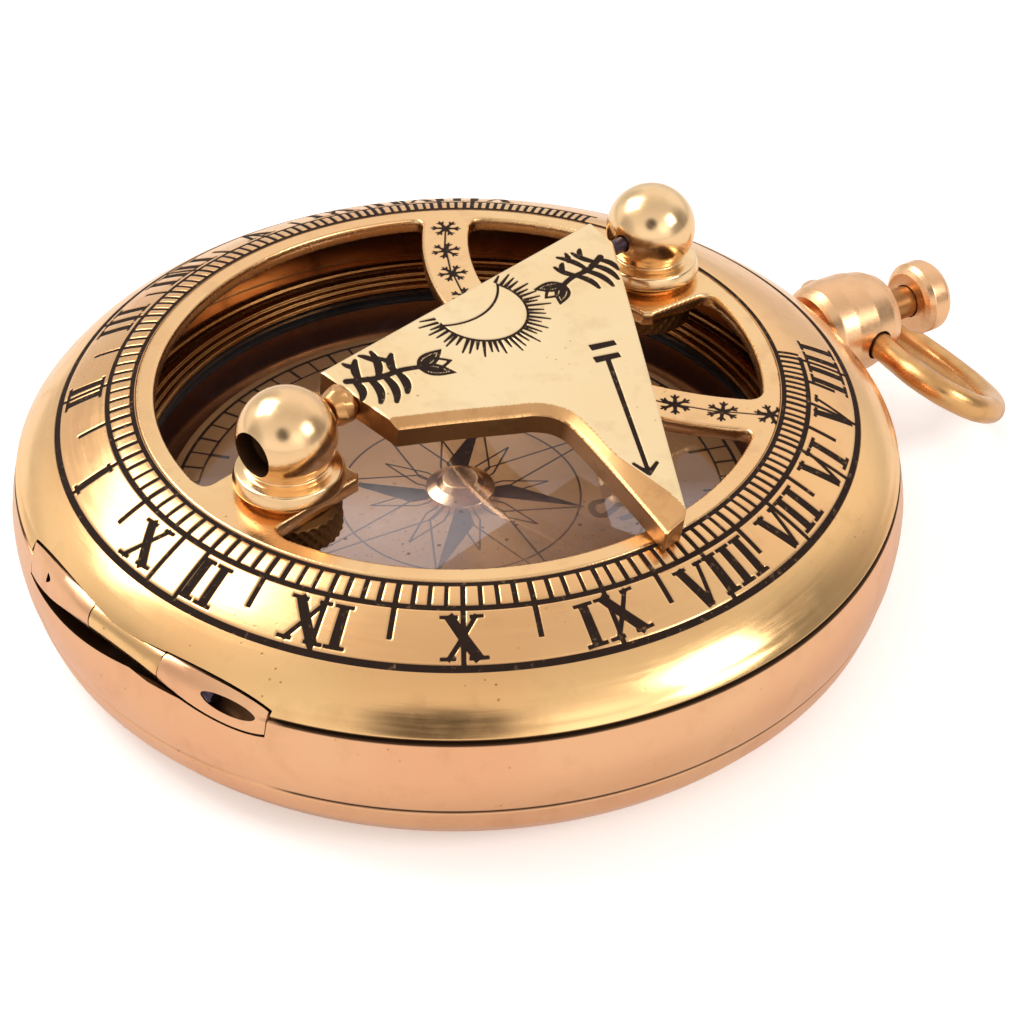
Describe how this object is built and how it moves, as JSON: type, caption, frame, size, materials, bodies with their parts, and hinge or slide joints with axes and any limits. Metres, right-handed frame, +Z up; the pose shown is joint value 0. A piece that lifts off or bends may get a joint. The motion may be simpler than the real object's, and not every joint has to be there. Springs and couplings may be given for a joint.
{
  "type": "pocket sundial compass",
  "caption": "Round brass pocket sundial compass: ring lid with engraved dial, folding gnomon between ball posts, glazed compass inside, push-button catch and wire bow.",
  "frame": {"origin": "centre of the flat underside of the back cover", "axes": "+Z up out of the dial; +X along the dial's noon line, away from XII and the lid hinge; the gnomon tip points to -Y; the pendant lies 15 degrees from +X towards -Y"},
  "size_m": [0.0598, 0.0496, 0.0176],
  "materials": {
    "case_brass": "satin polished coppery brass, fine radial wear",
    "lid_brass": "mirror polished yellow brass with blackened engraving",
    "plate_brass": "polished yellow brass with blackened engraving",
    "bow_brass": "polished brass wire",
    "dark_brass": "tarnished brown brass",
    "bezel_brass": "lacquered brown brass",
    "card_brass": "etched brass card",
    "steel": "bright spring steel",
    "blued_steel": "dark oiled steel",
    "clear_glass": "clear flat glass",
    "black_gasket": "matt black"
  },
  "bodies": {
    "case": {"case_band": "case_brass", "back_cover": "case_brass", "hinge_pin": "blued_steel", "compass_bowl": "dark_brass", "glass_gasket": "black_gasket", "compass_glass": "clear_glass", "glass_bezel": "bezel_brass", "card_pivot": "steel", "lift_spring": "steel", "lift_screw": "steel", "latch_screw": "steel", "pendant_neck": "case_brass", "button_spring": "steel"},
    "lid": {"lid_ring": "lid_brass", "post_north": "lid_brass", "post_south": "lid_brass", "post_washer_north": "lid_brass", "post_washer_south": "lid_brass", "post_nut_north": "dark_brass", "post_nut_south": "dark_brass"},
    "gnomon": {"gnomon_plate": "plate_brass", "gnomon_pin_north": "blued_steel", "gnomon_pin_south": "blued_steel"},
    "button": {"button_cap": "case_brass", "button_stem": "case_brass"},
    "latch": {"latch_spring": "steel"},
    "bow": {"bow_ring": "bow_brass"},
    "card": {"compass_card": "card_brass", "card_magnet": "steel", "card_hub": "card_brass"}
  },
  "joints": [
    {"name": "lid_hinge", "type": "hinge", "parent": "case", "child": "lid", "pos_m": [-0.0232, 0, 0.0079], "axis": [0, -1, 0], "range_deg": [0, 95]},
    {"name": "gnomon_fold", "type": "hinge", "parent": "lid", "child": "gnomon", "pos_m": [0, -0.0008, 0.01505], "axis": [-1, 0, 0], "range_deg": [0, 187]},
    {"name": "button_press", "type": "slide", "parent": "case", "child": "button", "axis": [-0.9659, 0.2588, 0], "range_m": [0, 0.0008]},
    {"name": "latch_release", "type": "hinge", "parent": "case", "child": "latch", "pos_m": [0.00936, -0.02007, 0.0058], "axis": [0, 0, 1], "range_deg": [0, 2.1]},
    {"name": "bow_swing", "type": "hinge", "parent": "case", "child": "bow", "pos_m": [0.02714, -0.00727, 0.00575], "axis": [0.2588, 0.9659, 0], "range_deg": [-123, 62]},
    {"name": "card_spin", "type": "hinge", "parent": "case", "child": "card", "pos_m": [0, 0, 0.0035], "axis": [0, 0, 1], "continuous": true}
  ],
  "couplings": [
    {"joint": "latch_release", "follows": "button_press", "rad_per_m": 44.2}
  ]
}
